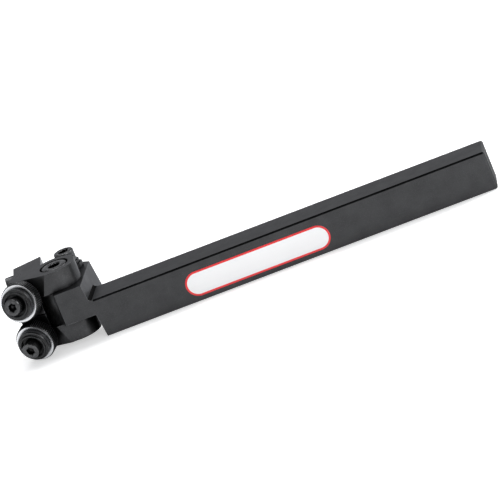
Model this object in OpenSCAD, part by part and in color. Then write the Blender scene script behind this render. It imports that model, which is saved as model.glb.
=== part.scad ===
// Knurling tool holder for a lathe tool post: a square shank whose head carries two
// mirrored swivel arms, each with a straight-toothed knurl wheel.
// +X runs along the shank to its tail, -Y is the side that the wheels face, +Z is up.
// The origin is the middle of the shank's underside.

/* [Shank] */
// Length of the shank's underside, from the head to the tail
shank_l = 203.5; // [120:0.5:260]
// Width of the shank, across the tool
shank_w = 20; // [18:0.5:25]
// Height of the shank
shank_h = 20; // [18:0.5:22]
// Chamfer along the shank's long edges
shank_edge = 0.8; // [0.2:0.1:2]
// Chamfer round the shank's tail
tail_edge = 0.8; // [0.2:0.1:2]

/* [Head] */
// Height of the centre plane, midway between the wheels, above the underside
centre_h = 20.75; // [20.75:0.05:24]
// Thickness of the head between the two arms
head_t = 16.6; // [14:0.1:18]
// Depth of the head from the near face to its back
head_depth = 33.7; // [30:0.1:36]
// Distance from the shank's front end back to the pivot axis, along X
pivot_back = 12.9; // [12.5:0.1:16]
// Distance of the pivot axis behind the near face
pivot_in = 14.7; // [13:0.1:18]
// Radius of the round boss between the two arms' lugs
boss_r = 12.4; // [11:0.1:12.6]
// Distance from the pivot axis to the left edge of the cheek
cheek_left = 4.6; // [3:0.1:6]
// Chamfer on the cheek's left edge
cheek_edge = 0.6; // [0.2:0.1:1.5]
// Lean of the head's rear facet and the shank's front end, from the vertical
back_lean = 6.2; // [4:0.1:8]
// Turn of the same faces in plan
back_turn = 8.6; // [4:0.1:12]
// Radius of the fillet between the rear facet and the shank's top
root_fillet = 2; // [1:0.5:6]
// Radius of the rounded ear that the clamp screw enters
ear_r = 8; // [7:0.1:9]

/* [Arms] */
// Radius of each arm's lug round the pivot
lug_r = 10.6; // [10:0.1:11.4]
// Height of each arm's outer face above the centre plane
arm_top = 18.5; // [16.5:0.1:20]
// Gap between each arm's wheel block and the centre plane
mid_gap = 0.3; // [0.2:0.1:1]
// Distance from the pivot axis to the wheel block's left side
block_reach = 21.1; // [20:0.1:24]
// Distance behind the pivot axis where the left side starts to splay forwards
splay_from = 6.8; // [4:0.1:7]
// Splay of the left side in front of that line, in degrees
splay_a = 18.4; // [0:0.1:24]
// Distance from the pivot axis back to the wheel block's rear left corner
block_back = 17.9; // [16.5:0.1:20]
// Slope of the wheel block's back in plan
back_slope = 15.9; // [8:0.1:18]
// Distance from the pivot axis to the wheel block's right side, above the head
block_right = 6.8; // [5:0.1:8]
// Distance from the pivot axis to the wheel block's right side, beside the head
block_under = 11.6; // [10:0.1:13]
// Thickness of the clamping plate behind the lug
plate_t = 2.3; // [2:0.1:3]
// Metal on each side of the clamping plate's slot
plate_wall = 2.2; // [1.5:0.1:3]
// Turn that the clamping slot allows each way, in degrees
arm_swing = 5; // [2:0.5:6]
// Turn left over at each end of the slot, in degrees
slot_spare = 0.5; // [0.2:0.1:1]
// Distance of the clamp screw from the pivot axis
clamp_r = 17.9; // [15:0.1:19]
// Direction of the clamp screw from the pivot axis
clamp_a = 74; // [70:0.5:80]

/* [Wheels] */
// Diameter over the teeth
wheel_d = 20; // [18:0.1:20.1]
// Width of each wheel
wheel_w = 6; // [4:0.1:7]
// Bore of each wheel
wheel_bore = 8; // [7:0.1:9]
// Number of teeth
teeth = 60; // [40:1:72]
// Depth of the teeth
tooth_depth = 0.5; // [0.3:0.05:0.8]
// Chamfer on each rim
wheel_edge = 0.6; // [0.2:0.1:1]
// Turn of the wheel axis in plan
wheel_swivel = 24; // [15:0.5:30]
// Tilt of the wheel axis away from the centre plane
wheel_tilt = 9; // [4:0.5:9.5]
// Distance of the wheel's front centre from the pivot axis, along X
wheel_out = 21.4; // [20.5:0.1:24]
// Distance of the wheel's front centre from the pivot axis, along Y
wheel_front = 14.4; // [14:0.1:16]
// Height of the wheel's front centre above the centre plane
wheel_up = 10.9; // [10.9:0.05:11.5]
// Thickness of the spacer behind each wheel
spacer_t = 2.9; // [2.5:0.1:4]
// Diameter of the spacer
spacer_d = 14; // [11:0.1:16]

/* [Wheel bushes] */
// Diameter of the bush's flange
flange_d = 16; // [14:0.1:18]
// Thickness of the flange's rim
flange_t = 2.9; // [2:0.1:3.5]
// Diameter of the raised hub on the flange
hub_d = 13.4; // [12:0.1:14]
// Height of the hub above the wheel's face
hub_t = 3.9; // [3.6:0.1:5]
// Diameter of the recess round the screw head
recess_d = 11.4; // [9.5:0.1:11.6]
// Metal left under the screw head
recess_floor = 2.4; // [1.5:0.1:3]

/* [Screws] */
// Thread size of the axle and side screws
small_d = 5; // [4:1:6]
// Length of the axle screws under their heads
axle_l = 16; // [14:1:16]
// Length of the side screws under their heads
side_l = 10; // [8:1:12]
// Distance of the side screw behind the pivot axis
side_back = 12; // [11.5:0.1:12.6]
// Height of the side screw above the centre plane
side_up = 12.9; // [12:0.1:13.5]
// Thread size of the clamp screws
clamp_d = 6; // [5:1:6]
// Length of the clamp screws under their heads
clamp_l = 12; // [8:1:12]
// Diameter of the clamp washers
washer_d = 12; // [11:0.1:13]
// Thickness of the clamp washers
washer_t = 1.6; // [1:0.1:2]
// Thread size of the pivot screws
pivot_d = 8; // [6:1:8]
// Head height of the pivot screws, which are the low kind
pivot_head = 5.5; // [4.5:0.1:6]
// Length of the pivot screws under their heads
pivot_l = 10; // [8:1:11]
// Diameter of the counterbore round the pivot screw's head
counterbore_d = 14.8; // [14:0.1:16]
// Outer diameter of the pivot bush
bush_d = 11; // [10.5:0.1:12]
// Depth of the pivot bush in the head
bush_sunk = 3; // [2:0.1:4]

/* [Clearances] */
// Radial running clearance of bores on their bushes
run_fit = 0.04; // [0.02:0.01:0.08]
// Radial clearance of screws in their tapped holes
thread_fit = 0.05; // [0.02:0.01:0.1]
// Radial clearance of screws in plain holes
hole_fit = 0.3; // [0.2:0.05:0.5]
// Depth left over past the end of a blind screw
hole_spare = 0.5; // [0.3:0.1:1]
// Gap between flat faces that slide on each other
slide_gap = 0.05; // [0.02:0.01:0.1]
// Gap between the wheel block and the head's boss
boss_gap = 0.35; // [0.3:0.05:0.6]
// Gap between the clamp washer and the arm round it
washer_gap = 0.35; // [0.3:0.05:0.6]

/* [Hidden] */
$fn = 96;

// Finishes
BLACK_OXIDE = "#4b4c4f";
DARK_STEEL = "#37383a";
GROUND_STEEL = "#c9ccd0";

// Places of the shank's faces and of the pivot axis
near_y = -shank_w / 2;
front_x = -shank_l / 2;
tail_x = shank_l / 2;
pivot_x = front_x - pivot_back;
pivot_y = near_y + pivot_in;

// Heights in the pivot frame, where z = 0 is the centre plane
head_top = head_t / 2;
shank_top = shank_h - centre_h;
lug_base = head_top + slide_gap;
pivot_seat = arm_top - pivot_head;
clamp_seat = lug_base + plate_t + slide_gap + washer_t;

// Foot of the leaning rear plane on the near face, at the height of the shank's top,
// and how far the shank runs on into the head
foot_x = pivot_back - shank_h * tan(back_lean);
head_lap = 4;

// Depth by which the root fillet enters the two faces that it joins
fillet_sink = 0.03;

// Clamp screw and its slot
clamp_x = clamp_r * cos(clamp_a);
clamp_y = clamp_r * sin(clamp_a);
slot_w = clamp_d + 2 * hole_fit;
slot_turn = arm_swing + slot_spare;
slot_step = 0.04;
plate_half = slot_w / 2 + plate_wall;
plate_inner = lug_r - 2;
plate_sweep = acos(-block_right / lug_r) + 1 - clamp_a + slot_turn;

// Front of the wheel block, a little behind the lug's front so that it meets the lug cleanly
front_y = 0.15 - lug_r;

// Direction in which the straight left flank touches both the boss and the ear
flank_a = clamp_a + acos((boss_r - ear_r) / clamp_r);

// Far top corner of the rear facet, and the direction in which its line meets the ear
corner_x = foot_x + head_depth * tan(back_turn) - (head_top - shank_top) * tan(back_lean);
corner_y = head_depth - pivot_in;
corner_r = norm([corner_x - clamp_x, corner_y - clamp_y]);
corner_a = atan2(corner_y - clamp_y, corner_x - clamp_x) + acos(ear_r / corner_r);

// Stack on the wheel axis, measured back from the wheel's front face
journal_l = wheel_w + 2 * slide_gap;
facet_back = wheel_w + slide_gap + spacer_t;
axle_depth = axle_l - recess_floor - facet_back + slide_gap;

// Socket cap screws: head diameter, head height and hexagon for a thread size
function head_d(d) = d == 8 ? 13 : d == 6 ? 10 : d == 5 ? 8.5 : 7;
function head_h(d) = d;
function hex_af(d) = d == 8 ? 6 : d == 6 ? 5 : d == 5 ? 4 : 3;

// Reach of a cutting block that runs past the part
FAR = 80;

// Moves from the part's frame to the pivot frame, right way up or mirrored below
module pivot_frame(below) {
    translate([pivot_x, pivot_y, centre_h])
        if (below) mirror([0, 0, 1]) children();
        else children();
}

// Moves from the pivot frame to a wheel axis: z points out of the wheel's front face
module wheel_axis() {
    translate([-wheel_out, -wheel_front, wheel_up])
        rotate([90 - wheel_tilt, 0, -wheel_swivel])
            children();
}

// Everything on the tail side of the leaning rear plane
module behind_rear_plane() {
    translate([foot_x, -pivot_in, shank_top])
        rotate([0, -back_lean, -back_turn])
            translate([0, -FAR, -FAR]) cube(2 * FAR);
}

module ring(outer_d, inner_d, h) {
    difference() {
        cylinder(d = outer_d, h = h);
        translate([0, 0, -1]) cylinder(d = inner_d, h = h + 2);
    }
}

// Cap screw with its seat at z = 0, the head above and the thread below
module cap_screw(d, length, head = 0) {
    r = d / 2;
    hr = head_d(d) / 2;
    hh = head > 0 ? head : head_h(d);
    edge = d / 16;
    socket = 0.6 * hh;
    difference() {
        rotate_extrude()
            polygon([
                [0, -length], [r - edge, -length], [r, edge - length], [r, 0],
                [hr, 0], [hr, hh - edge], [hr - edge, hh], [0, hh]
            ]);
        translate([0, 0, hh - socket]) cylinder(d = hex_af(d) / cos(30), h = socket + 1, $fn = 6);
        translate([0, 0, hh - edge])
            cylinder(r1 = hex_af(d) / 2, r2 = hex_af(d) / 2 + 3 * edge, h = 3 * edge);
    }
}

// Plan of the head: cheek, boss, ear and back, running past the rear plane
module head_plan() {
    circle(r = boss_r);
    translate([clamp_x, clamp_y]) circle(r = ear_r);
    polygon([
        [-cheek_left, -pivot_in + cheek_edge],
        [cheek_edge - cheek_left, -pivot_in],
        [pivot_back + FAR, -pivot_in],
        [pivot_back + FAR, corner_y],
        [corner_x, corner_y],
        [clamp_x + ear_r * cos(corner_a), clamp_y + ear_r * sin(corner_a)],
        [clamp_x + ear_r * cos(flank_a), clamp_y + ear_r * sin(flank_a)],
        [boss_r * cos(flank_a), boss_r * sin(flank_a)],
        [-cheek_left, 0]
    ]);
}

// Shank section: a square with its four corners chamfered
module shank_section() {
    e = shank_edge;
    polygon([
        [0, e], [e, 0], [shank_w - e, 0], [shank_w, e],
        [shank_w, shank_h - e], [shank_w - e, shank_h], [e, shank_h], [0, shank_h - e]
    ]);
}

// Concave fillet along the foot of the rear facet, as wide as the shank
module root_fillet_bar() {
    r = root_fillet;
    run_in = r / cos(back_lean) - r * tan(back_lean);
    intersection() {
        translate([foot_x, -pivot_in, shank_top])
            rotate([90, 0, -back_turn])
                linear_extrude(FAR, center = true)
                    difference() {
                        polygon([
                            [-r, -shank_edge], [run_in, -shank_edge], [run_in, r / 2],
                            [run_in - r * cos(back_lean), r - r * sin(back_lean)], [-r, r]
                        ]);
                        translate([run_in - fillet_sink, r - fillet_sink]) circle(r = r);
                    }
        translate([0, -pivot_in, -FAR / 2]) cube([FAR, shank_w, FAR]);
    }
}

module shank() {
    in_head = foot_x - head_lap;
    difference() {
        translate([in_head, -pivot_in, -centre_h])
            rotate([90, 0, 90])
                linear_extrude(pivot_back + shank_l - in_head)
                    shank_section();
        // The front end leans back under the head
        difference() {
            translate([-FAR, -FAR / 2, -centre_h - 1]) cube([2 * FAR, FAR, centre_h + 1 - head_top]);
            behind_rear_plane();
        }
        // Chamfers round the tail
        translate([pivot_back + shank_l, shank_w / 2 - pivot_in, shank_h / 2 - centre_h])
            for (side = [0:3])
                rotate([90 * side, 0, 0])
                    translate([0, 0, (side % 2 == 0 ? shank_h : shank_w) / 2])
                        rotate([0, 45, 0])
                            cube([tail_edge * sqrt(2), FAR, tail_edge * sqrt(2)], center = true);
    }
}

// Tapped through hole and bush seats for the pivot, tapped hole for the clamp
module head_bores() {
    cylinder(d = pivot_d + 2 * thread_fit, h = FAR, center = true);
    translate([clamp_x, clamp_y]) cylinder(d = clamp_d + 2 * thread_fit, h = FAR, center = true);
    for (below = [false, true])
        mirror([0, 0, below ? 1 : 0])
            translate([0, 0, head_top - bush_sunk])
                cylinder(d = bush_d + 2 * run_fit, h = FAR);
}

module holder_body() {
    color(BLACK_OXIDE)
        pivot_frame(false)
            difference() {
                union() {
                    difference() {
                        translate([0, 0, -head_top]) linear_extrude(head_t) head_plan();
                        behind_rear_plane();
                    }
                    shank();
                    root_fillet_bar();
                }
                head_bores();
            }
}

// Plan of the wheel block and the neck that joins it to the lug, running past its back
module block_plan() {
    polygon([
        [0, front_y],
        [-block_reach - (splay_from - front_y) * tan(splay_a), front_y],
        [-block_reach, splay_from],
        [-block_reach, block_back + block_reach],
        [-block_right, block_back + block_reach],
        [-block_right, 0]
    ]);
}

// Thin plate behind the lug, between the clamp washer and the head
module clamping_plate() {
    end_a = clamp_a - slot_turn;
    rotate([0, 0, end_a])
        rotate_extrude(angle = plate_sweep)
            translate([plate_inner, 0]) square([clamp_r + plate_half - plate_inner, plate_t]);
    rotate([0, 0, end_a])
        translate([clamp_r, 0]) cylinder(r = plate_half, h = plate_t);
}

// Arc that the clamp screw sweeps as the arm turns, as wide as asked, with round ends.
// The ends stand a hair wider than the arc.
module clamp_sweep(w, h) {
    start_a = clamp_a - slot_turn;
    arc_w = w - 2 * slot_step;
    rotate([0, 0, start_a])
        rotate_extrude(angle = 2 * slot_turn)
            translate([clamp_r - arc_w / 2, 0]) square([arc_w, h]);
    for (a = [start_a, clamp_a + slot_turn])
        rotate([0, 0, a]) translate([clamp_r, 0]) cylinder(d = w, h = h);
}

// Room beside the head, below the lug
module head_room() {
    translate([0, 0, lug_base - FAR]) {
        cylinder(r = boss_r + boss_gap, h = FAR);
        translate([-block_under, -FAR / 2, 0]) cube(FAR);
    }
}

module arm() {
    difference() {
        union() {
            difference() {
                translate([0, 0, mid_gap]) linear_extrude(arm_top - mid_gap) block_plan();
                head_room();
            }
            translate([0, 0, lug_base]) {
                cylinder(r = lug_r, h = arm_top - lug_base);
                clamping_plate();
            }
        }
        // Back of the wheel block and of the clamping plate, in one plane
        translate([-block_reach, block_back, 0])
            rotate([0, 0, back_slope])
                translate([-FAR, 0, -FAR]) cube(2 * FAR);
        // Facet that the wheel is mounted on, and the axle screw's tapped hole
        wheel_axis() {
            translate([-FAR, -FAR, -facet_back]) cube(2 * FAR);
            translate([0, 0, -facet_back - axle_depth - hole_spare])
                cylinder(d = small_d + 2 * thread_fit, h = FAR);
        }
        // Pivot bore and the counterbore of its screw
        cylinder(d = bush_d + 2 * run_fit, h = FAR);
        translate([0, 0, pivot_seat]) cylinder(d = counterbore_d, h = FAR);
        // Slot for the clamp screw, and room for its washer beside the lug
        translate([0, 0, lug_base - plate_t]) clamp_sweep(slot_w, 3 * plate_t);
        translate([0, 0, lug_base + plate_t]) clamp_sweep(washer_d + 2 * washer_gap, FAR);
        side_screw_place()
            translate([0, 0, -side_l - hole_spare])
                cylinder(d = small_d + 2 * thread_fit, h = FAR);
    }
}

module side_screw_place() {
    translate([-block_reach, side_back, side_up]) rotate([0, -90, 0]) children();
}

// Straight V teeth round the rim
module toothed_disc() {
    polygon([
        for (i = [0:2 * teeth - 1])
            let (r = wheel_d / 2 - (i % 2) * tooth_depth, a = i * 180 / teeth)
                [r * cos(a), r * sin(a)]
    ]);
}

module knurl_wheel() {
    r = wheel_d / 2;
    b = wheel_bore / 2 + run_fit;
    e = wheel_edge;
    intersection() {
        translate([0, 0, -wheel_w]) linear_extrude(wheel_w) toothed_disc();
        rotate_extrude()
            polygon([
                [b, -wheel_w], [r - e, -wheel_w], [r + 0.1, e + 0.1 - wheel_w],
                [r + 0.1, -e - 0.1], [r - e, 0], [b, 0]
            ]);
    }
}

// Flanged bush: journal through the wheel, flange, hub and recess for the screw head
module wheel_bush() {
    jr = wheel_bore / 2;
    br = small_d / 2 + hole_fit / 2;
    fr = flange_d / 2;
    hub_r = hub_d / 2;
    rr = recess_d / 2;
    edge = 0.35;
    translate([0, 0, slide_gap])
        rotate_extrude()
            polygon([
                [br, -journal_l], [jr, -journal_l], [jr, 0], [fr, 0],
                [fr, flange_t - edge], [fr - edge, flange_t], [hub_r, flange_t],
                [hub_r, hub_t - edge], [hub_r - edge, hub_t], [rr, hub_t],
                [rr, recess_floor], [br, recess_floor]
            ]);
}

module upper(name) {
    part_of_side(name, false);
}

module lower(name) {
    part_of_side(name, true);
}

// One piece of an arm's set, on the upper or the lower side of the head
module part_of_side(name, below) {
    pivot_frame(below) {
        if (name == "arm") color(BLACK_OXIDE) arm();
        if (name == "pivot_bush")
            color(GROUND_STEEL)
                translate([0, 0, head_top - bush_sunk])
                    ring(bush_d, pivot_d + hole_fit, pivot_seat - slide_gap - head_top + bush_sunk);
        if (name == "pivot_screw")
            color(DARK_STEEL) translate([0, 0, pivot_seat]) cap_screw(pivot_d, pivot_l, pivot_head);
        if (name == "clamp_washer")
            color(BLACK_OXIDE)
                translate([clamp_x, clamp_y, clamp_seat - washer_t]) ring(washer_d, clamp_d + hole_fit, washer_t);
        if (name == "clamp_screw")
            color(DARK_STEEL) translate([clamp_x, clamp_y, clamp_seat]) cap_screw(clamp_d, clamp_l);
        if (name == "side_screw") color(DARK_STEEL) side_screw_place() cap_screw(small_d, side_l);
        if (name == "wheel_spacer")
            color(DARK_STEEL)
                wheel_axis() translate([0, 0, -facet_back]) ring(spacer_d, small_d + hole_fit, spacer_t);
        if (name == "knurl_wheel") color(GROUND_STEEL) wheel_axis() knurl_wheel();
        if (name == "wheel_bush") color(BLACK_OXIDE) wheel_axis() wheel_bush();
        if (name == "axle_screw")
            color(DARK_STEEL)
                wheel_axis() translate([0, 0, recess_floor + slide_gap]) cap_screw(small_d, axle_l);
    }
}

holder_body();
upper("arm");  // upper_arm
upper("pivot_bush");  // upper_pivot_bush
upper("pivot_screw");  // upper_pivot_screw
upper("clamp_washer");  // upper_clamp_washer
upper("clamp_screw");  // upper_clamp_screw
upper("side_screw");  // upper_side_screw
upper("wheel_spacer");  // upper_wheel_spacer
upper("knurl_wheel");  // upper_knurl_wheel
upper("wheel_bush");  // upper_wheel_bush
upper("axle_screw");  // upper_axle_screw
lower("arm");  // lower_arm
lower("pivot_bush");  // lower_pivot_bush
lower("pivot_screw");  // lower_pivot_screw
lower("clamp_washer");  // lower_clamp_washer
lower("clamp_screw");  // lower_clamp_screw
lower("side_screw");  // lower_side_screw
lower("wheel_spacer");  // lower_wheel_spacer
lower("knurl_wheel");  // lower_knurl_wheel
lower("wheel_bush");  // lower_wheel_bush
lower("axle_screw");  // lower_axle_screw
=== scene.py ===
"""Finish, small parts, label, studio and camera for the knurling tool holder.

Lengths are in metres in the part's own frame: the origin is the middle of the shank's
underside, +X runs to the tail, -Y is the side that the wheels face and +Z is up.
"""

import math

import bmesh
import bpy
from bpy.props import FloatProperty, FloatVectorProperty, IntProperty, PointerProperty
from mathutils import Matrix, Vector


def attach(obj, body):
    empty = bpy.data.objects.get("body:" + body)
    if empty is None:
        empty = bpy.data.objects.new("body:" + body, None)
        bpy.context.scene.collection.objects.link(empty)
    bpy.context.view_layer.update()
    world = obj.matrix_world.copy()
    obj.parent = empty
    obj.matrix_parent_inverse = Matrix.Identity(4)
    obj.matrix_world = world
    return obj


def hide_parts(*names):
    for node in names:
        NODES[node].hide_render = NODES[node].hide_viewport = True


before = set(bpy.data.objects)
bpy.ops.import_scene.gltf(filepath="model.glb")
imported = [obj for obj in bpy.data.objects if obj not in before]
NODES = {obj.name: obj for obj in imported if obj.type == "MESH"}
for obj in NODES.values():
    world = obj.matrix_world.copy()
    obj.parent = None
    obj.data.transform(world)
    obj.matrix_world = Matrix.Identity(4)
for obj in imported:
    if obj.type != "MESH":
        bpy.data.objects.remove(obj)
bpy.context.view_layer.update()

bl_info = {
    "name": "Knurling tool holder finish",
    "version": (1, 0, 0),
    "blender": (4, 5, 0),
    "location": "3D View > Sidebar > Tool holder",
    "description": "Dresses the packed knurling tool holder in oxide, ground steel and its label",
    "category": "Object",
}

MM = 0.001
SIDES = ("upper", "lower")

# Black oxide, and the painted shade that darkens its corners and the gaps between parts
OXIDE_SHINE = 0.4
OXIDE_METAL = 0.9
OXIDE_EDGE_TINT = (0.58, 0.585, 0.60, 1)
# Share and colour of the painted shade in corners and gaps
CORNER_SHADE_SHARE = 0.95
CORNER_SHADE_COLOUR = (0.004, 0.004, 0.004)
OXIDE_BUMP = 0.012 * MM
TURNING_BUMP = 0.008 * MM
BUMP_STRENGTH = 0.8

# Meshes: distance that welds corners, and the angle below which faces count as one flat face
WELD_GAP = 0.0005 * MM
FLAT_ANGLE = math.radians(0.6)

# Studio. The world's white fades to CEILING between the last two heights of a ray's direction.
ROOM_COLOUR = (0.95, 0.97, 1.0, 1)
ROOM_LIGHT = 0.40
CEILING = 0.02
WALL_TOP, CEILING_EDGE = 0.42, 0.72

# Studio floor, with the size and the drop below the part in metres
FLOOR_GREY = (0.90, 0.90, 0.90, 1)
FLOOR_GLOW = 0.50
FLOOR_SIZE = 4.0
FLOOR_DROP = 0.0002

# Points that the lamps and the camera face, in metres
LAMP_TARGET = (-0.02, 0, 0.01)
CAMERA_TARGET = Vector((-0.0225, 0.0, 0.0124))

# Name, place, size and watts of each lamp
LAMPS = (
    ("tail softbox", (1.50, 0.45, 0.80), (0.8, 0.8), 24),
    ("overhead softbox", (0.0, 0.5, 1.3), (1.2, 0.8), 10),
    ("front fill", (0.80, -1.40, 0.30), (0.8, 0.6), 9.5),
)

# Shank and pivot that the part's source gives, in the part's frame
PIVOT = Vector((-114.65, 4.7, 20.75)) * MM
ROOT_X = -98.5 * MM
SHANK_W = 20 * MM
SHANK_H = 20 * MM

# Wheel axis, clamp screw and side screw that the source gives, in the upper arm's pivot frame
WHEEL_FRONT = Vector((-21.4, -14.4, 10.9)) * MM
WHEEL_SWIVEL = math.radians(24)
WHEEL_TILT = math.radians(9)
CLAMP_R = 17.9 * MM
CLAMP_TURN = math.radians(74)
SIDE_SCREW = Vector((-21.1, 12.0, 12.9)) * MM

# How far the root fillet's faces lie from ROOT_X, and how far the head reaches behind PIVOT
ROOT_REACH = 5 * MM
HEAD_REACH = 12 * MM

# The label's thickness, and how far its middle lies below the middle of the shank
LABEL_THICK = 0.12 * MM
LABEL_DROP = 1.0 * MM

# Heights and thicknesses that seat the screws, in millimetres in the pivot frame
ARM_TOP = 18.5
HEAD_TOP = 8.3
SLIDE_GAP = 0.05
PLATE_THICK = 2.3
WASHER_THICK = 1.6
PIVOT_HEAD = 5.5
AXLE_SEAT = 2.45

# Head diameter, socket width and thread pitch of each screw size, in millimetres
SCREW_SIZES = {8: (13.0, 6.0, 1.25), 6: (10.0, 5.0, 1.0), 5: (8.5, 4.0, 0.8)}

# Points round a screw head for each of its ridges. bridge_finer is made for 4.
POINTS_PER_RIDGE = 4


def along(side, point, direction):
    """Placing with +Z along direction at point, both given in the upper arm's pivot frame."""
    point, direction = Vector(point), Vector(direction)
    if side == "lower":
        point.z, direction.z = -point.z, -direction.z
    turn = direction.to_track_quat("Z", "Y").to_matrix().to_4x4()
    return Matrix.Translation(PIVOT + point) @ turn


def wheel_direction():
    """Direction out of the upper wheel's front face."""
    return Vector((
        -math.sin(WHEEL_SWIVEL) * math.cos(WHEEL_TILT),
        -math.cos(WHEEL_SWIVEL) * math.cos(WHEEL_TILT),
        math.sin(WHEEL_TILT),
    ))


def wheel_placing(side):
    """Placing on a wheel's axis, at the wheel's front face."""
    return along(side, WHEEL_FRONT, wheel_direction())


# Sizes and colours that a user would change


class HolderFinish(bpy.types.PropertyGroup):
    """Black oxide on the holder and the arms."""

    shank_colour: FloatVectorProperty(
        name="Shank", description="Colour of the oxide on the ground shank",
        default=(0.040, 0.0405, 0.042), subtype="COLOR", size=3, min=0, max=1)
    arm_colour: FloatVectorProperty(
        name="Arms", description="Colour of the oxide on the milled arms",
        default=(0.041, 0.0414, 0.0428), subtype="COLOR", size=3, min=0, max=1)
    worn_colour: FloatVectorProperty(
        name="Worn edges", description="Colour of the steel that shows through at rubbed edges",
        default=(0.30, 0.31, 0.32), subtype="COLOR", size=3, min=0, max=1)
    shank_edge: FloatProperty(
        name="Shank edges", description="Width of the rounding of the holder's ground edges",
        default=0.25 * MM, unit="LENGTH", min=0)
    arm_edge: FloatProperty(
        name="Arm edges", description="Width of the rounding of the arms' milled edges",
        default=0.45 * MM, unit="LENGTH", min=0)


class WheelFinish(bpy.types.PropertyGroup):
    """Ground steel wheels and their turned bushes."""

    wheel_colour: FloatVectorProperty(
        name="Wheels", description="Colour of the ground high speed steel",
        default=(0.72, 0.73, 0.75), subtype="COLOR", size=3, min=0, max=1)
    bush_colour: FloatVectorProperty(
        name="Bushes", description="Colour of the oxide on the turned bushes",
        default=(0.040, 0.0404, 0.0415), subtype="COLOR", size=3, min=0, max=1)
    turning_pitch: FloatProperty(
        name="Turning pitch", description="Distance between the tool marks on the turned faces",
        default=0.35 * MM, unit="LENGTH", min=0)


class ScrewFinish(bpy.types.PropertyGroup):
    """Socket cap screws."""

    screw_colour: FloatVectorProperty(
        name="Screws", description="Colour of the oxide on the screws",
        default=(0.060, 0.0606, 0.0625), subtype="COLOR", size=3, min=0, max=1)
    grip_ridges: IntProperty(
        name="Grip ridges", description="Ridges round the head of an M5 screw",
        default=40, min=12, max=90)
    grip_depth: FloatProperty(
        name="Grip depth", description="Depth of the ridges round a screw head",
        default=0.13 * MM, unit="LENGTH", min=0)


class LabelFinish(bpy.types.PropertyGroup):
    """Blank label on the near face of the shank."""

    length: FloatProperty(
        name="Length", description="Length of the label", default=75 * MM, unit="LENGTH", min=0)
    height: FloatProperty(
        name="Height", description="Height of the label", default=12.7 * MM, unit="LENGTH", min=0)
    border: FloatProperty(
        name="Border", description="Width of the coloured border",
        default=1.0 * MM, unit="LENGTH", min=0)
    middle: FloatProperty(
        name="Middle", description="Place of the label's middle along the shank",
        default=-20.0 * MM, unit="LENGTH")
    paper_colour: FloatVectorProperty(
        name="Paper", description="Colour of the blank label",
        default=(0.96, 0.962, 0.965), subtype="COLOR", size=3, min=0, max=1)
    border_colour: FloatVectorProperty(
        name="Border colour", description="Colour of the label's border",
        default=(0.80, 0.015, 0.02), subtype="COLOR", size=3, min=0, max=1)


class StudioSettings(bpy.types.PropertyGroup):
    """Floor, lamps and camera."""

    azimuth: FloatProperty(
        name="Azimuth", description="Turn of the camera round the part",
        default=math.radians(5.3), subtype="ANGLE")
    elevation: FloatProperty(
        name="Elevation", description="Height angle of the camera",
        default=math.radians(17.1), subtype="ANGLE")
    roll: FloatProperty(
        name="Roll", description="Turn of the picture about the line of sight",
        default=math.radians(22.35), subtype="ANGLE")
    distance: FloatProperty(
        name="Distance", description="Distance of the camera from its target",
        default=5.0, unit="LENGTH", min=0.2)
    lens: FloatProperty(
        name="Lens", description="Focal length of the camera, in millimetres",
        default=740, min=10, max=1500)


# Node helpers


def add(tree, kind, place=(0, 0), **settings):
    """A new node of that kind, with its settings."""
    node = tree.nodes.new(kind)
    node.location = place
    for key, value in settings.items():
        setattr(node, key, value)
    return node


def join(tree, source, target):
    """Links a source socket to a target socket."""
    tree.links.new(source, target)


def maths(tree, operation, first, second=None):
    """A Math node whose inputs are sockets or numbers. Returns its output."""
    node = add(tree, "ShaderNodeMath", operation=operation)
    for socket, value in zip(node.inputs, (first, second)):
        if value is None:
            continue
        if isinstance(value, (int, float)):
            socket.default_value = value
        else:
            join(tree, value, socket)
    return node.outputs[0]


def hypotenuse(tree, first, second):
    """Length of the flat vector with those two parts."""
    squares = [maths(tree, "MULTIPLY", part, part) for part in (first, second)]
    return maths(tree, "SQRT", maths(tree, "ADD", *squares))


def vector_maths(tree, operation, first, second=None, output=0):
    """A Vector Math node whose inputs are sockets or vectors. Returns the chosen output."""
    node = add(tree, "ShaderNodeVectorMath", operation=operation)
    for socket, value in zip(node.inputs, (first, second)):
        if value is None:
            continue
        if isinstance(value, (tuple, list, Vector)):
            socket.default_value = value
        else:
            join(tree, value, socket)
    return node.outputs[output]


def ramp(tree, source, low, high, first=0.0, last=1.0):
    """Maps low..high of source smoothly to first..last, clamped."""
    node = add(tree, "ShaderNodeMapRange", interpolation_type="SMOOTHSTEP")
    join(tree, source, node.inputs["Value"])
    for name, value in (("From Min", low), ("From Max", high), ("To Min", first), ("To Max", last)):
        if isinstance(value, (int, float)):
            node.inputs[name].default_value = value
        else:
            join(tree, value, node.inputs[name])
    return node.outputs["Result"]


def noise(tree, vector, scale, detail=3.0, rough=0.55):
    """A 3-D noise value."""
    node = add(tree, "ShaderNodeTexNoise", noise_dimensions="3D")
    node.inputs["Detail"].default_value = detail
    node.inputs["Roughness"].default_value = rough
    join(tree, vector, node.inputs["Vector"])
    if isinstance(scale, (int, float)):
        node.inputs["Scale"].default_value = scale
    else:
        join(tree, scale, node.inputs["Scale"])
    return node.outputs["Fac"]


def blend_colours(tree, factor, first, second):
    """A mix of two colours, each a socket or a tuple."""
    node = add(tree, "ShaderNodeMix", data_type="RGBA", blend_type="MIX")
    for name, value in (("Factor", factor), ("A", first), ("B", second)):
        socket = node.inputs[name]
        if isinstance(value, (int, float)):
            socket.default_value = value
        elif isinstance(value, (tuple, list)):
            socket.default_value = tuple(value) + (1.0,) * (4 - len(value))
        else:
            join(tree, value, socket)
    return node.outputs["Result"]


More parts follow.
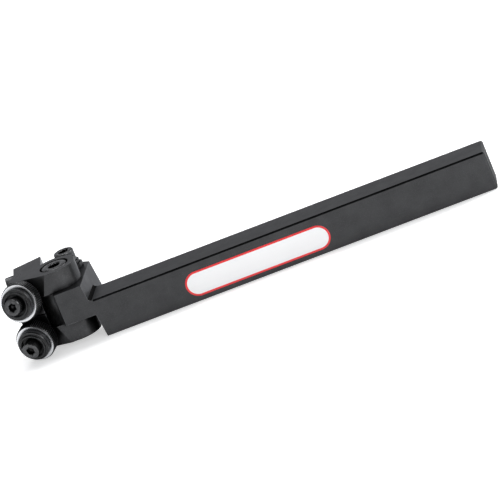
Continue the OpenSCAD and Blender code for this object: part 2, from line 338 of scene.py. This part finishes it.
def node_group(name, inputs, outputs):
    """An empty shader node group with those sockets: (name, kind, default) and (name, kind)."""
    group = bpy.data.node_groups.new(name, "ShaderNodeTree")
    kinds = {"float": "NodeSocketFloat", "vector": "NodeSocketVector", "colour": "NodeSocketColor"}
    for socket, kind, default in inputs:
        made = group.interface.new_socket(name=socket, in_out="INPUT", socket_type=kinds[kind])
        made.default_value = default
    for socket, kind in outputs:
        group.interface.new_socket(name=socket, in_out="OUTPUT", socket_type=kinds[kind])
    return group, add(group, "NodeGroupInput", (-900, 0)), add(group, "NodeGroupOutput", (900, 0))


# Shared effects


def rubbed_edges_group():
    """Mask of the edges where the oxide is rubbed thin, broken up by noise."""
    if "Rubbed edges" in bpy.data.node_groups:
        return bpy.data.node_groups["Rubbed edges"]
    group, given, result = node_group(
        "Rubbed edges",
        [("Vector", "vector", (0, 0, 0)), ("Width", "float", 0.5 * MM), ("Break up", "float", 900.0)],
        [("Mask", "float")])
    rounded = add(group, "ShaderNodeBevel", samples=6)
    join(group, given.outputs["Width"], rounded.inputs["Radius"])
    facing = add(group, "ShaderNodeNewGeometry")
    same = vector_maths(group, "DOT_PRODUCT", rounded.outputs["Normal"],
                        facing.outputs["True Normal"], output=1)
    edge = ramp(group, same, 0.995, 0.86)
    speck = noise(group, given.outputs["Vector"], given.outputs["Break up"], detail=4.0, rough=0.65)
    patch = noise(group, given.outputs["Vector"], 70.0, detail=2.0)
    worn = maths(group, "MULTIPLY", ramp(group, speck, 0.38, 0.66), ramp(group, patch, 0.36, 0.62))
    join(group, maths(group, "MULTIPLY", edge, worn), result.inputs["Mask"])
    return group


def grinding_group():
    """Long fine scratches of a surface grinder, running along X, with slow patches between."""
    if "Grinding marks" in bpy.data.node_groups:
        return bpy.data.node_groups["Grinding marks"]
    group, given, result = node_group(
        "Grinding marks",
        [("Vector", "vector", (0, 0, 0)), ("Scale", "float", 1.0)],
        [("Height", "float"), ("Patches", "float")])
    scaled = add(group, "ShaderNodeVectorMath", operation="SCALE")
    join(group, given.outputs["Vector"], scaled.inputs[0])
    join(group, given.outputs["Scale"], scaled.inputs["Scale"])
    stretched = vector_maths(group, "MULTIPLY", scaled.outputs[0], (22.0, 1500.0, 1500.0))
    fine = noise(group, stretched, 1.0, detail=3.0, rough=0.6)
    broad = vector_maths(group, "MULTIPLY", scaled.outputs[0], (9.0, 260.0, 260.0))
    lines = noise(group, broad, 1.0, detail=2.0)
    fine_share = maths(group, "MULTIPLY", fine, 0.65)
    line_share = maths(group, "MULTIPLY", lines, 0.35)
    join(group, maths(group, "ADD", fine_share, line_share), result.inputs["Height"])
    join(group, noise(group, scaled.outputs[0], 38.0, detail=4.0, rough=0.6), result.inputs["Patches"])
    return group


def oxide_grain_group():
    """Fine speckle of black oxide, with a few lighter specks."""
    if "Oxide grain" in bpy.data.node_groups:
        return bpy.data.node_groups["Oxide grain"]
    group, given, result = node_group(
        "Oxide grain",
        [("Vector", "vector", (0, 0, 0)), ("Scale", "float", 1800.0)],
        [("Height", "float"), ("Specks", "float"), ("Clouds", "float")])
    join(group, noise(group, given.outputs["Vector"], given.outputs["Scale"], detail=4.0, rough=0.7),
         result.inputs["Height"])
    finer = maths(group, "MULTIPLY", given.outputs["Scale"], 1.6)
    specks = noise(group, given.outputs["Vector"], finer, detail=2.0)
    join(group, ramp(group, specks, 0.56, 0.70), result.inputs["Specks"])
    join(group, noise(group, given.outputs["Vector"], 110.0, detail=3.0), result.inputs["Clouds"])
    return group


def corner_shade_group(own_only):
    """Mask of painted shade in the corners, found by ambient occlusion, with the gaps to other pieces
    unless own_only.
    """
    name = "Painted shade in own corners" if own_only else "Painted shade in corners and gaps"
    if name in bpy.data.node_groups:
        return bpy.data.node_groups[name]
    group, given, result = node_group(
        name,
        [("Vector", "vector", (0, 0, 0)), ("Reach", "float", 7 * MM)],
        [("Mask", "float")])
    # Painted shade: ambient occlusion picks the corners and gaps where shade falls
    nearby = add(group, "ShaderNodeAmbientOcclusion", samples=8, only_local=own_only)
    join(group, given.outputs["Reach"], nearby.inputs["Distance"])
    shut_in = ramp(group, nearby.outputs["AO"], 0.90, 0.30)
    patch = noise(group, given.outputs["Vector"], 260.0, detail=3.0)
    uneven = ramp(group, patch, 0.2, 0.6, 0.7, 1.0)
    join(group, maths(group, "MULTIPLY", shut_in, uneven), result.inputs["Mask"])
    return group


def turning_group():
    """Concentric marks of a lathe tool about an axis, with a fine scatter."""
    if "Turning marks" in bpy.data.node_groups:
        return bpy.data.node_groups["Turning marks"]
    group, given, result = node_group(
        "Turning marks",
        [("Vector", "vector", (0, 0, 0)), ("Place", "vector", (0, 0, 0)), ("Turn", "vector", (0, 0, 0)),
         ("Pitch", "float", 0.35 * MM)],
        [("Height", "float"), ("Rings", "float")])
    local = add(group, "ShaderNodeMapping", vector_type="TEXTURE")
    join(group, given.outputs["Vector"], local.inputs["Vector"])
    join(group, given.outputs["Place"], local.inputs["Location"])
    join(group, given.outputs["Turn"], local.inputs["Rotation"])
    parts = add(group, "ShaderNodeSeparateXYZ")
    join(group, local.outputs[0], parts.inputs[0])
    radius = hypotenuse(group, parts.outputs["X"], parts.outputs["Y"])
    travel = maths(group, "ADD", radius, parts.outputs["Z"])
    phase = maths(group, "DIVIDE", travel, given.outputs["Pitch"])
    wave = maths(group, "SINE", maths(group, "MULTIPLY", phase, 2 * math.pi))
    scatter = add(group, "ShaderNodeTexNoise", noise_dimensions="1D")
    scatter.inputs["Scale"].default_value = 5.0
    scatter.inputs["Detail"].default_value = 3.0
    join(group, phase, scatter.inputs["W"])
    regular = maths(group, "MULTIPLY", wave, 0.22)
    join(group, maths(group, "ADD", regular, scatter.outputs["Fac"]), result.inputs["Height"])
    slow = add(group, "ShaderNodeTexNoise", noise_dimensions="1D")
    slow.inputs["Scale"].default_value = 0.9
    join(group, phase, slow.inputs["W"])
    join(group, slow.outputs["Fac"], result.inputs["Rings"])
    return group


def placed(tree, group, **values):
    """The group in a material, with its inputs set or linked. Underscores stand for spaces."""
    node = add(tree, "ShaderNodeGroup")
    node.node_tree = group
    for name, value in values.items():
        socket = node.inputs[name.replace("_", " ")]
        if isinstance(value, (int, float, tuple, Vector)):
            socket.default_value = value
        else:
            join(tree, value, socket)
    return node


def new_material(name):
    """A node material with one Principled shader and the object's own coordinates."""
    material = bpy.data.materials.new(name)
    material.use_nodes = True
    tree = material.node_tree
    shader = tree.nodes["Principled BSDF"]
    coords = add(tree, "ShaderNodeTexCoord", (-1400, 0))
    return material, tree, shader, coords.outputs["Object"]


def bumped(tree, shader, height, distance, strength):
    """Gives the shader a bump from a height."""
    bump = add(tree, "ShaderNodeBump")
    bump.inputs["Distance"].default_value = distance
    bump.inputs["Strength"].default_value = strength
    join(tree, height, bump.inputs["Height"])
    join(tree, bump.outputs["Normal"], shader.inputs["Normal"])


def darkened_in_corners(tree, base, vector, reach, own_only=False):
    """The base colour, darkened by painted shade in the corners."""
    corner_shade = placed(tree, corner_shade_group(own_only), Vector=vector, Reach=reach)
    share = maths(tree, "MULTIPLY", corner_shade.outputs["Mask"], CORNER_SHADE_SHARE)
    return blend_colours(tree, share, base, CORNER_SHADE_COLOUR)


def seen_rays(tree):
    """1 for the rays that see the studio's white: camera, glossy and transmission rays."""
    path = add(tree, "ShaderNodeLightPath")
    mirrored = maths(tree, "MAXIMUM", path.outputs["Is Glossy Ray"], path.outputs["Is Transmission Ray"])
    return maths(tree, "MAXIMUM", path.outputs["Is Camera Ray"], mirrored)


def oxide_material(name, colour, worn, grain_scale, rough, ground=False, worn_share=1.0,
                   wear_width=0.5 * MM, shine=OXIDE_SHINE, shade_reach=7 * MM,
                   edge_tint=OXIDE_EDGE_TINT):
    """Black oxide on steel: milled and speckled, or surface ground along X."""
    if name in bpy.data.materials:
        return bpy.data.materials[name]
    material, tree, shader, vector = new_material(name)
    grain = placed(tree, oxide_grain_group(), Vector=vector, Scale=grain_scale)
    edges = placed(tree, rubbed_edges_group(), Vector=vector, Width=wear_width, Break_up=2600.0)
    light = tuple(min(1.0, c * 1.22) for c in colour)
    dark = tuple(c * 0.88 for c in colour)
    base = blend_colours(tree, ramp(tree, grain.outputs["Clouds"], 0.3, 0.7), dark, light)
    specks = maths(tree, "MULTIPLY", grain.outputs["Specks"], 0.4)
    base = blend_colours(tree, specks, base, tuple(min(1.0, c * 3.0) for c in colour))
    height = grain.outputs["Height"]
    wear = edges.outputs["Mask"]
    if ground:
        marks = placed(tree, grinding_group(), Vector=vector)
        height = maths(tree, "ADD", maths(tree, "MULTIPLY", height, 0.35), marks.outputs["Height"])
        streak = ramp(tree, marks.outputs["Height"], 0.35, 0.65)
        base = blend_colours(tree, maths(tree, "MULTIPLY", streak, 0.35), base, light)
        patches = ramp(tree, marks.outputs["Patches"], 0.35, 0.65)
        base = blend_colours(tree, maths(tree, "MULTIPLY", patches, 0.2), base, dark)
    # Painted shade in corners; only the piece's own corners on the ground shank
    base = darkened_in_corners(tree, base, vector, shade_reach, own_only=ground)
    wear = maths(tree, "MULTIPLY", wear, worn_share)
    base = blend_colours(tree, wear, base, worn)
    join(tree, base, shader.inputs["Base Color"])
    join(tree, ramp(tree, wear, 0.0, 1.0, OXIDE_METAL, 1.0), shader.inputs["Metallic"])
    shader.inputs["Specular Tint"].default_value = edge_tint
    uneven = ramp(tree, grain.outputs["Clouds"], 0.25, 0.75, rough - 0.06, rough + 0.07)
    polish = maths(tree, "MULTIPLY", wear, 0.12)
    join(tree, maths(tree, "SUBTRACT", uneven, polish), shader.inputs["Roughness"])
    shader.inputs["Specular IOR Level"].default_value = shine
    bumped(tree, shader, height, OXIDE_BUMP, BUMP_STRENGTH)
    return material


def turned_material(name, colour, side, pitch, rough, metallic=OXIDE_METAL,
                    worn=(0.3, 0.31, 0.32), worn_share=0.8, spread=1.45, shine=OXIDE_SHINE,
                    shade_reach=4 * MM):
    """Turned steel round a wheel's axis, with tool marks that follow the turning."""
    full = f"{name} {side}"
    if full in bpy.data.materials:
        return bpy.data.materials[full]
    material, tree, shader, vector = new_material(full)
    placing = wheel_placing(side)
    marks = placed(tree, turning_group(), Vector=vector, Place=placing.to_translation(),
                   Turn=Vector(placing.to_euler("XYZ")), Pitch=pitch)
    grain = placed(tree, oxide_grain_group(), Vector=vector, Scale=2400.0)
    edges = placed(tree, rubbed_edges_group(), Vector=vector, Width=0.3 * MM, Break_up=3000.0)
    light = tuple(min(1.0, c * spread) for c in colour)
    dark = tuple(c / spread for c in colour)
    base = blend_colours(tree, ramp(tree, marks.outputs["Rings"], 0.3, 0.7), dark, light)
    base = blend_colours(tree, maths(tree, "MULTIPLY", grain.outputs["Specks"], 0.2), base, light)
    # Painted shade in the corners by the bush and the wheel
    base = darkened_in_corners(tree, base, vector, shade_reach)
    wear = maths(tree, "MULTIPLY", edges.outputs["Mask"], worn_share)
    join(tree, blend_colours(tree, wear, base, worn), shader.inputs["Base Color"])
    join(tree, ramp(tree, wear, 0.0, 1.0, metallic, 1.0), shader.inputs["Metallic"])
    if metallic < 1:
        shader.inputs["Specular Tint"].default_value = OXIDE_EDGE_TINT
    uneven = ramp(tree, marks.outputs["Height"], 0.2, 0.8, rough - 0.07, rough + 0.08)
    join(tree, uneven, shader.inputs["Roughness"])
    shader.inputs["Specular IOR Level"].default_value = shine
    bumped(tree, shader, marks.outputs["Height"], TURNING_BUMP, BUMP_STRENGTH)
    return material


# Meshes


def shaded(node, material, width, segments=2, angle=28, others=()):
    """Gives a CAD node its finish and real rounded edges, without changing its own mesh.

    others holds further materials, each with a test of a face's middle and direction.
    """
    mesh = node.data
    if "custom_normal" in mesh.attributes:
        mesh.attributes.remove(mesh.attributes["custom_normal"])
    mesh.shade_smooth()
    mesh.materials.clear()
    mesh.materials.append(material)
    for number, (other, test) in enumerate(others, start=1):
        mesh.materials.append(other)
        for face in mesh.polygons:
            if test(face.center, face.normal):
                face.material_index = number
    weld = node.modifiers.new("Weld", "WELD")
    weld.merge_threshold = WELD_GAP
    flat = node.modifiers.new("Flat faces", "DECIMATE")
    flat.decimate_type = "DISSOLVE"
    flat.angle_limit = FLAT_ANGLE
    flat.delimit = {"MATERIAL"}
    if width > 0:
        edge = node.modifiers.new("Rounded edges", "BEVEL")
        edge.width = width
        edge.segments = segments
        edge.limit_method = "ANGLE"
        edge.angle_limit = math.radians(angle)
        edge.use_clamp_overlap = True
        edge.harden_normals = True
        edge.miter_outer = "MITER_ARC"


def mesh_piece(name, build, placing, body, material, replaced=()):
    """A new piece from a function that fills a bmesh, in place on its body."""
    mesh = bpy.data.meshes.new(name)
    work = bmesh.new()
    build(work)
    bmesh.ops.recalc_face_normals(work, faces=work.faces)
    work.transform(placing)
    work.to_mesh(mesh)
    work.free()
    mesh.materials.append(material)
    piece = bpy.data.objects.new(name, mesh)
    bpy.context.scene.collection.objects.link(piece)
    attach(piece, body)
    if replaced:
        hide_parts(*replaced)
    return piece


def smooth_by_angle(piece, degrees=32):
    """Smooth faces with sharp edges where the faces turn by more than that."""
    mesh = piece.data
    mesh.shade_smooth()
    work = bmesh.new()
    work.from_mesh(mesh)
    for edge in work.edges:
        if len(edge.link_faces) == 2:
            edge.smooth = edge.calc_face_angle(0.0) < math.radians(degrees)
    work.to_mesh(mesh)
    work.free()


def loop_of(work, points):
    """New vertices at those points."""
    return [work.verts.new(p) for p in points]


def bridge(work, first, second):
    """Quads between two closed loops of as many vertices."""
    count = len(first)
    for i in range(count):
        j = (i + 1) % count
        work.faces.new((first[i], first[j], second[j], second[i]))


def bridge_finer(work, coarse, fine):
    """Faces between a closed loop and one with POINTS_PER_RIDGE times as many vertices."""
    for i, corner in enumerate(coarse):
        after = coarse[(i + 1) % len(coarse)]
        start = POINTS_PER_RIDGE * i
        run = [fine[(start + k) % len(fine)] for k in range(POINTS_PER_RIDGE + 1)]
        work.faces.new((corner, run[0], run[1]))
        work.faces.new((corner, run[1], run[2]))
        work.faces.new((corner, run[2], run[3], after))
        work.faces.new((after, run[3], run[4]))


def ring_points(count, radius_at, z):
    """Points of a closed loop about Z. radius_at gives the radius for a step and its angle."""
    points = []
    for i in range(count):
        a = 2 * math.pi * i / count
        r = radius_at(i, a)
        points.append((r * math.cos(a), r * math.sin(a), z))
    return points


def cap_screw_builder(size, length, head_h, ridges, depth):
    """Function that fills a bmesh with a ridged socket cap screw with a rolled thread.

    The seat is at z = 0, the head above it and the thread below. Sizes are in millimetres, the
    ridges' depth and the mesh in metres.
    """
    head_d, across, pitch = SCREW_SIZES[size]
    head_r, half = head_d / 2 * MM, across / 2 * MM
    top, edge, socket = head_h * MM, size / 11 * MM, 0.6 * head_h * MM
    foot, lip = 0.25 * MM, 0.02 * MM
    ridge_start, ridge_end = 0.45 * MM, 0.2 * MM
    mouth, mouth_depth = 0.28 * MM, 0.30 * MM
    steps = ridges * POINTS_PER_RIDGE

    def circle(radius, z, wavy=0.0):
        def radius_at(i, a):
            return radius - wavy * (0.5 - 0.5 * math.cos(2 * math.pi * i / POINTS_PER_RIDGE))
        return ring_points(steps, radius_at, z)

    def hexagon(z):
        def radius_at(i, a):
            return half / math.cos((a + math.pi / 6) % (math.pi / 3) - math.pi / 6)
        return ring_points(steps, radius_at, z)

    def build(work):
        rings = [
            loop_of(work, circle(head_r - foot, 0)),
            loop_of(work, circle(head_r - lip, foot)),
            loop_of(work, circle(head_r, ridge_start, depth)),
            loop_of(work, circle(head_r, top - edge - ridge_end, depth)),
            loop_of(work, circle(head_r - lip, top - edge)),
            loop_of(work, circle(head_r - 0.35 * edge, top - 0.35 * edge)),
            loop_of(work, circle(head_r - edge, top)),
            loop_of(work, circle(half / math.cos(math.pi / 6) + mouth, top)),
            loop_of(work, hexagon(top - mouth_depth)),
            loop_of(work, hexagon(top - socket)),
            loop_of(work, circle(0.86 * half, top - socket - lip)),
            loop_of(work, circle(0.12 * half, top - socket - 0.55 * half)),
        ]
        for first, second in zip(rings, rings[1:]):
            bridge(work, first, second)
        work.faces.new(rings[-1])
        neck = thread(work, size / 2 * MM, length * MM, pitch * MM)
        bridge_finer(work, neck, rings[0])

    def thread(work, radius, reach, pitch):
        """Rolled thread drawn as close rings down to the chamfered point. Returns its top loop."""
        profile = [(radius, 0.0)]
        z, crest = -1.6 * pitch, True
        while z > -reach + 0.8 * pitch:
            profile.append((radius if crest else radius - 0.45 * pitch, z))
            z -= pitch / 2
            crest = not crest
        profile.append((radius - 0.1 * pitch, -reach + 0.7 * pitch))
        profile.append((radius - 0.55 * pitch, -reach))
        profile.append((0.3 * radius, -reach))
        loops = []
        for r, height in profile:
            loops.append(loop_of(work, ring_points(ridges, lambda i, a, r=r: r, height)))
        for first, second in zip(loops, loops[1:]):
            bridge(work, first, second)
        work.faces.new(loops[-1])
        return loops[0]

    return build


# Operators


class FinishHolder(bpy.types.Operator):
    """Oxide finish and rounded edges for the holder body"""

    bl_idname = "tool_holder.finish_holder"
    bl_label = "Finish the holder"

    def execute(self, context):
        look = context.scene.holder_finish
        worn = tuple(look.worn_colour)
        # Painted shade: the corner darkening reaches 13 mm, so the shank's top darkens near the head
        material = oxide_material("Oxide on ground shank", tuple(look.shank_colour), worn,
                                  grain_scale=2200.0, rough=0.36, ground=True,
                                  worn_share=0.55, shade_reach=13 * MM)
        # Painted shade: near-black colour with weak reflection on the long chamfers and the root fillet,
        # for their shade and dark reflection
        black = oxide_material("Painted shade on chamfers and root fillet", tuple(c * 0.2 for c in look.shank_colour),
                               worn, grain_scale=2600.0, rough=0.45, worn_share=0.0,
                               shine=0.12, edge_tint=(0.2, 0.2, 0.2, 1))
        sawn = oxide_material("Oxide on sawn end", tuple(c * 0.7 for c in look.shank_colour),
                              worn, grain_scale=1300.0, rough=0.42, worn_share=0.6,
                              edge_tint=(0.28, 0.28, 0.29, 1))

        # Faces painted near black for shade: the long chamfers, and the leaning faces at the root fillet
        def in_painted_shade(middle, direction):
            lengthwise = middle.x > PIVOT.x + HEAD_REACH and abs(direction.x) < 0.1
            chamfer = lengthwise and abs(abs(direction.y) - direction.z) < 0.02
            leaning = 0.08 < direction.x < 0.97 and abs(direction.z) > 0.15
            return chamfer or (leaning and abs(middle.x - ROOT_X) < ROOT_REACH)

        def tail_end(middle, direction):
            return direction.x > 0.98 and middle.x > 0

        shaded(NODES["holder_body"], material, look.shank_edge,
               others=((black, in_painted_shade), (sawn, tail_end)))
        return {"FINISHED"}


class FinishArms(bpy.types.Operator):
    """Oxide finish and rounded edges for the two swivel arms, their bushes and washers"""

    bl_idname = "tool_holder.finish_arms"
    bl_label = "Finish the arms"

    def execute(self, context):
        look = context.scene.holder_finish
        worn = tuple(look.worn_colour)
        arm = oxide_material("Oxide on milled arm", tuple(look.arm_colour), worn,
                             grain_scale=2300.0, rough=0.32, worn_share=0.45)
        small = oxide_material("Oxide on washer", tuple(c * 0.8 for c in look.arm_colour), worn,
                               grain_scale=2400.0, rough=0.26, wear_width=0.25 * MM)
        for side in SIDES:
            shaded(NODES[f"{side}_arm"], arm, look.arm_edge, segments=3, angle=14)
            shaded(NODES[f"{side}_pivot_bush"], small, 0.1 * MM)
            shaded(NODES[f"{side}_clamp_washer"], small, 0.12 * MM)
        return {"FINISHED"}


class FinishWheels(bpy.types.Operator):
    """Ground steel for the knurl wheels, turned oxide for their bushes and spacers"""

    bl_idname = "tool_holder.finish_wheels"
    bl_label = "Finish the wheels"

    def execute(self, context):
        look = context.scene.wheel_finish
        steel, bush, pitch = tuple(look.wheel_colour), tuple(look.bush_colour), look.turning_pitch
        for side in SIDES:
            # Painted shade: short corner darkening makes a dark ring inside the bright wheel rim, next
            # to the bush
            bright = turned_material("Ground wheel steel", steel, side, pitch, rough=0.24,
                                     metallic=1.0, worn=steel, spread=1.12, shade_reach=1.6 * MM)
            turned = turned_material("Turned oxide", bush, side, pitch, rough=0.26)
            dark = turned_material("Oxide between teeth", tuple(c * 0.7 for c in bush), side, pitch,
                                   rough=0.35, worn=steel, worn_share=0.5, shine=0.25)
            axis = wheel_direction()
            axis.z *= 1 if side == "upper" else -1

            def toothed(middle, direction, axis=axis):
                return abs(direction.dot(axis)) < 0.9

            shaded(NODES[f"{side}_knurl_wheel"], bright, 0.05 * MM, segments=1, angle=20,
                   others=((dark, toothed),))
            shaded(NODES[f"{side}_wheel_bush"], turned, 0.28 * MM)
            shaded(NODES[f"{side}_wheel_spacer"], turned, 0.2 * MM)
        return {"FINISHED"}


class MakeScrews(bpy.types.Operator):
    """Socket cap screws with ridged heads in place of the plain ones"""

    bl_idname = "tool_holder.make_screws"
    bl_label = "Make the screws"

    def execute(self, context):
        look = context.scene.screw_finish
        worn = tuple(context.scene.holder_finish.worn_colour)
        steel = oxide_material("Oxide on screw", tuple(look.screw_colour), worn,
                               grain_scale=2600.0, rough=0.24, wear_width=0.35 * MM,
                               shade_reach=6 * MM)
        clamp_seat = HEAD_TOP + SLIDE_GAP + PLATE_THICK + SLIDE_GAP + WASHER_THICK
        clamp = (CLAMP_R * math.cos(CLAMP_TURN), CLAMP_R * math.sin(CLAMP_TURN), clamp_seat * MM)
        pivot = (0, 0, (ARM_TOP - PIVOT_HEAD) * MM)
        out = wheel_direction()
        axle = WHEEL_FRONT + out * AXLE_SEAT * MM
        for side in SIDES:
            arm_body = f"{side}_arm"
            screws = (
                ("pivot_screw", "holder", 8, 10, PIVOT_HEAD, along(side, pivot, (0, 0, 1))),
                ("clamp_screw", "holder", 6, 12, 6.0, along(side, clamp, (0, 0, 1))),
                ("side_screw", arm_body, 5, 10, 5.0, along(side, SIDE_SCREW, (-1, 0, 0))),
                ("axle_screw", arm_body, 5, 16, 5.0, along(side, axle, out)),
            )
            for name, body, size, length, head, placing in screws:
                ridges = round(look.grip_ridges * SCREW_SIZES[size][0] / SCREW_SIZES[5][0])
                build = cap_screw_builder(size, length, head, ridges, look.grip_depth)
                piece = mesh_piece(f"{side}_{name}_ridged", build, placing, body,
                                   steel, (f"{side}_{name}",))
                smooth_by_angle(piece)
        return {"FINISHED"}


class MakeLabel(bpy.types.Operator):
    """Blank label with a coloured border on the near face of the shank"""

    bl_idname = "tool_holder.make_label"
    bl_label = "Make the label"

    def execute(self, context):
        look = context.scene.label_finish
        material, tree, shader, _ = new_material("Printed label")
        uv = add(tree, "ShaderNodeUVMap", uv_map="millimetres")
        parts = add(tree, "ShaderNodeSeparateXYZ")
        join(tree, uv.outputs["UV"], parts.inputs[0])
        radius = look.height / 2 / MM
        straight = look.length / 2 / MM - radius
        past = maths(tree, "SUBTRACT", maths(tree, "ABSOLUTE", parts.outputs["X"]), straight)
        reach = hypotenuse(tree, maths(tree, "MAXIMUM", past, 0.0), parts.outputs["Y"])
        border = look.border / MM
        inside = ramp(tree, reach, radius - border - 0.04, radius - border + 0.04)
        paper = tuple(look.paper_colour)
        speck = noise(tree, uv.outputs["UV"], 3.0, detail=4.0)
        mottle = ramp(tree, speck, 0.35, 0.7, 0.0, 0.5)
        face = blend_colours(tree, mottle, paper, tuple(c * 0.95 for c in paper))
        printed = blend_colours(tree, inside, face, tuple(look.border_colour))
        join(tree, printed, shader.inputs["Base Color"])
        join(tree, ramp(tree, speck, 0.3, 0.7, 0.28, 0.38), shader.inputs["Roughness"])
        shader.inputs["Coat Weight"].default_value = 0.25
        bumped(tree, shader, noise(tree, uv.outputs["UV"], 1.2, detail=3.0), 0.01 * MM, 0.5)

        steps = 40
        end_r, half = look.height / 2, look.length / 2 - look.height / 2

        def outline(radius, y):
            points = []
            for end, start in ((1, -math.pi / 2), (-1, math.pi / 2)):
                for i in range(steps + 1):
                    a = start + math.pi * i / steps
                    points.append((end * half + radius * math.cos(a), y, radius * math.sin(a)))
            return points

        def build(work):
            layer = work.loops.layers.uv.new("millimetres")
            rings = [
                loop_of(work, outline(end_r, 0.0)),
                loop_of(work, outline(end_r, -LABEL_THICK * 0.6)),
                loop_of(work, outline(end_r - LABEL_THICK * 0.6, -LABEL_THICK)),
                loop_of(work, outline(end_r - 0.6 * MM, -LABEL_THICK)),
            ]
            for first, second in zip(rings, rings[1:]):
                bridge(work, first, second)
            work.faces.new(rings[-1])
            work.faces.new(rings[0])
            for face in work.faces:
                for corner in face.loops:
                    corner[layer].uv = (corner.vert.co.x / MM, corner.vert.co.z / MM)

        placing = Matrix.Translation((look.middle, -SHANK_W / 2, SHANK_H / 2 - LABEL_DROP))
        piece = mesh_piece("label", build, placing, "holder", material)
        smooth_by_angle(piece, 40)
        return {"FINISHED"}


class SetStudio(bpy.types.Operator):
    """White floor, soft lamps and the camera of the photograph"""

    bl_idname = "tool_holder.set_studio"
    bl_label = "Set the studio"

    def execute(self, context):
        look = context.scene.studio_settings
        scene = context.scene
        scene.view_settings.view_transform = "Standard"
        self.world(scene)
        self.floor()
        self.lamps()
        self.camera(scene, look)
        return {"FINISHED"}

    @staticmethod
    def world(scene):
        world = bpy.data.worlds.new("Studio")
        scene.world = world
        world.use_nodes = True
        tree = world.node_tree
        tree.nodes.clear()
        room = add(tree, "ShaderNodeBackground")
        room.inputs["Color"].default_value = ROOM_COLOUR
        room.inputs["Strength"].default_value = ROOM_LIGHT
        white = add(tree, "ShaderNodeBackground")
        white.inputs["Color"].default_value = (1, 1, 1, 1)
        height = add(tree, "ShaderNodeSeparateXYZ")
        join(tree, add(tree, "ShaderNodeTexCoord").outputs["Generated"], height.inputs[0])
        walls = ramp(tree, height.outputs["Z"], WALL_TOP, CEILING_EDGE, 1.0, CEILING)
        join(tree, walls, white.inputs["Strength"])
        mixed = add(tree, "ShaderNodeMixShader")
        output = add(tree, "ShaderNodeOutputWorld")
        join(tree, seen_rays(tree), mixed.inputs["Fac"])
        join(tree, room.outputs[0], mixed.inputs[1])
        join(tree, white.outputs[0], mixed.inputs[2])
        join(tree, mixed.outputs[0], output.inputs["Surface"])

    @staticmethod
    def floor():
        mesh = bpy.data.meshes.new("floor")
        work = bmesh.new()
        bmesh.ops.create_grid(work, x_segments=1, y_segments=1, size=FLOOR_SIZE)
        work.to_mesh(mesh)
        work.free()
        floor = bpy.data.objects.new("floor", mesh)
        floor.location.z = -FLOOR_DROP
        bpy.context.scene.collection.objects.link(floor)
        material = bpy.data.materials.new("Studio floor")
        material.use_nodes = True
        tree = material.node_tree
        shader = tree.nodes["Principled BSDF"]
        shader.inputs["Base Color"].default_value = FLOOR_GREY
        shader.inputs["Roughness"].default_value = 0.9
        shader.inputs["Specular IOR Level"].default_value = 0.0
        shader.inputs["Emission Color"].default_value = (1, 1, 1, 1)
        glow = maths(tree, "MULTIPLY", seen_rays(tree), FLOOR_GLOW)
        join(tree, glow, shader.inputs["Emission Strength"])
        mesh.materials.append(material)

    @staticmethod
    def lamps():
        for name, place, size, watts in LAMPS:
            data = bpy.data.lights.new(name, "AREA")
            data.shape = "RECTANGLE"
            data.size, data.size_y = size
            data.energy = watts
            lamp = bpy.data.objects.new(name, data)
            lamp.location = place
            away = Vector(place) - Vector(LAMP_TARGET)
            lamp.rotation_euler = away.to_track_quat("Z", "Y").to_euler()
            bpy.context.scene.collection.objects.link(lamp)

    @staticmethod
    def camera(scene, look):
        data = bpy.data.cameras.new("camera")
        data.sensor_width = 36
        data.lens = look.lens
        data.clip_start, data.clip_end = 0.01, 20
        camera = bpy.data.objects.new("camera", data)
        away = Vector((
            math.sin(look.azimuth) * math.cos(look.elevation),
            -math.cos(look.azimuth) * math.cos(look.elevation),
            math.sin(look.elevation),
        ))
        aim = away.to_track_quat("Z", "Y").to_matrix().to_4x4()
        place = Matrix.Translation(CAMERA_TARGET + away * look.distance)
        camera.matrix_world = place @ aim @ Matrix.Rotation(-look.roll, 4, "Z")
        scene.collection.objects.link(camera)
        scene.camera = camera


class HolderPanel(bpy.types.Panel):
    """Buttons and settings of the tool holder's finish"""

    bl_idname = "VIEW3D_PT_tool_holder"
    bl_label = "Knurling tool holder"
    bl_space_type = "VIEW_3D"
    bl_region_type = "UI"
    bl_category = "Tool holder"

    def draw(self, context):
        scene = context.scene
        for operator, settings in PANEL_ROWS:
            box = self.layout.box()
            box.operator(operator.bl_idname)
            group = getattr(scene, settings)
            for key in group.__annotations__:
                box.prop(group, key)


SETTINGS = (
    ("holder_finish", HolderFinish),
    ("wheel_finish", WheelFinish),
    ("screw_finish", ScrewFinish),
    ("label_finish", LabelFinish),
    ("studio_settings", StudioSettings),
)
OPERATORS = (FinishHolder, FinishArms, FinishWheels, MakeScrews, MakeLabel, SetStudio)
PANEL_ROWS = (
    (FinishHolder, "holder_finish"),
    (FinishArms, "holder_finish"),
    (FinishWheels, "wheel_finish"),
    (MakeScrews, "screw_finish"),
    (MakeLabel, "label_finish"),
    (SetStudio, "studio_settings"),
)


def register():
    for name, group in SETTINGS:
        bpy.utils.register_class(group)
        setattr(bpy.types.Scene, name, PointerProperty(type=group))
    for kind in OPERATORS + (HolderPanel,):
        bpy.utils.register_class(kind)


def unregister():
    for kind in reversed(OPERATORS + (HolderPanel,)):
        bpy.utils.unregister_class(kind)
    for name, group in reversed(SETTINGS):
        delattr(bpy.types.Scene, name)
        bpy.utils.unregister_class(group)


def main():
    register()
    bpy.ops.tool_holder.finish_holder()
    bpy.ops.tool_holder.finish_arms()
    bpy.ops.tool_holder.finish_wheels()
    bpy.ops.tool_holder.make_screws()
    bpy.ops.tool_holder.make_label()
    bpy.ops.tool_holder.set_studio()


if __name__ == "__main__":
    main()
